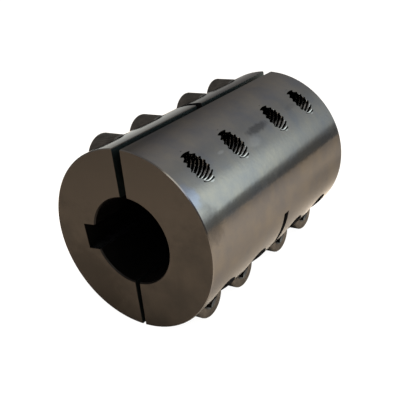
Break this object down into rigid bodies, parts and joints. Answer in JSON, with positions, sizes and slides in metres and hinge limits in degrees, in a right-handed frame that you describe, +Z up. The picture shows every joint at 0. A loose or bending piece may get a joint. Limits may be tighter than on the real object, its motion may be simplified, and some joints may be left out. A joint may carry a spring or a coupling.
{
  "type": "split sleeve coupling",
  "caption": "Two-piece clamping shaft coupling: keyed half sleeves drawn together round a plain bore by opposed socket head cap screws, each half sawn across at mid length.",
  "frame": {"origin": "on the shaft axis at the middle of the sleeve's length", "axes": "+Y along the shaft axis, away from the end that faces the viewer; +X across the split, from the keyed half to the plain half; +Z up, with the wider side of the split on top"},
  "size_m": [0.042, 0.065, 0.042],
  "materials": {
    "sleeve_steel": "turned steel with a thin oiled black oxide",
    "screw_steel": "blackened and oiled screw steel"
  },
  "bodies": {
    "left_half": {"left_half": "sleeve_steel"},
    "right_half": {"right_half": "sleeve_steel"},
    "upper_screw_1": {"upper_screw_1": "screw_steel"},
    "upper_screw_2": {"upper_screw_2": "screw_steel"},
    "upper_screw_3": {"upper_screw_3": "screw_steel"},
    "upper_screw_4": {"upper_screw_4": "screw_steel"},
    "lower_screw_1": {"lower_screw_1": "screw_steel"},
    "lower_screw_2": {"lower_screw_2": "screw_steel"},
    "lower_screw_3": {"lower_screw_3": "screw_steel"},
    "lower_screw_4": {"lower_screw_4": "screw_steel"}
  },
  "joints": [
    {"name": "upper_screw_1_turn", "type": "hinge", "parent": "left_half", "child": "upper_screw_1", "pos_m": [0, -0.0239, 0.0155], "axis": [1, 0, 0], "range_deg": [-720, 324]},
    {"name": "upper_screw_2_turn", "type": "hinge", "parent": "left_half", "child": "upper_screw_2", "pos_m": [0, -0.0096, 0.0155], "axis": [1, 0, 0], "range_deg": [-720, 324]},
    {"name": "upper_screw_3_turn", "type": "hinge", "parent": "left_half", "child": "upper_screw_3", "pos_m": [0, 0.0096, 0.0155], "axis": [1, 0, 0], "range_deg": [-720, 324]},
    {"name": "upper_screw_4_turn", "type": "hinge", "parent": "left_half", "child": "upper_screw_4", "pos_m": [0, 0.0239, 0.0155], "axis": [1, 0, 0], "range_deg": [-720, 324]},
    {"name": "lower_screw_1_turn", "type": "hinge", "parent": "right_half", "child": "lower_screw_1", "pos_m": [0, -0.0239, -0.0155], "axis": [-1, 0, 0], "range_deg": [-720, 324]},
    {"name": "lower_screw_2_turn", "type": "hinge", "parent": "right_half", "child": "lower_screw_2", "pos_m": [0, -0.0096, -0.0155], "axis": [-1, 0, 0], "range_deg": [-720, 324]},
    {"name": "lower_screw_3_turn", "type": "hinge", "parent": "right_half", "child": "lower_screw_3", "pos_m": [0, 0.0096, -0.0155], "axis": [-1, 0, 0], "range_deg": [-720, 324]},
    {"name": "lower_screw_4_turn", "type": "hinge", "parent": "right_half", "child": "lower_screw_4", "pos_m": [0, 0.0239, -0.0155], "axis": [-1, 0, 0], "range_deg": [-720, 324]},
    {"name": "halves_close", "type": "slide", "parent": "left_half", "child": "right_half", "axis": [-1, 0, 0], "range_m": [-0.002, 0.0009]}
  ],
  "couplings": [
    {"joint": "upper_screw_1_turn", "follows": "halves_close", "rad_per_m": 6283},
    {"joint": "upper_screw_2_turn", "follows": "halves_close", "rad_per_m": 6283},
    {"joint": "upper_screw_3_turn", "follows": "halves_close", "rad_per_m": 6283},
    {"joint": "upper_screw_4_turn", "follows": "halves_close", "rad_per_m": 6283},
    {"joint": "lower_screw_1_turn", "follows": "halves_close", "rad_per_m": 6283},
    {"joint": "lower_screw_2_turn", "follows": "halves_close", "rad_per_m": 6283},
    {"joint": "lower_screw_3_turn", "follows": "halves_close", "rad_per_m": 6283},
    {"joint": "lower_screw_4_turn", "follows": "halves_close", "rad_per_m": 6283}
  ]
}
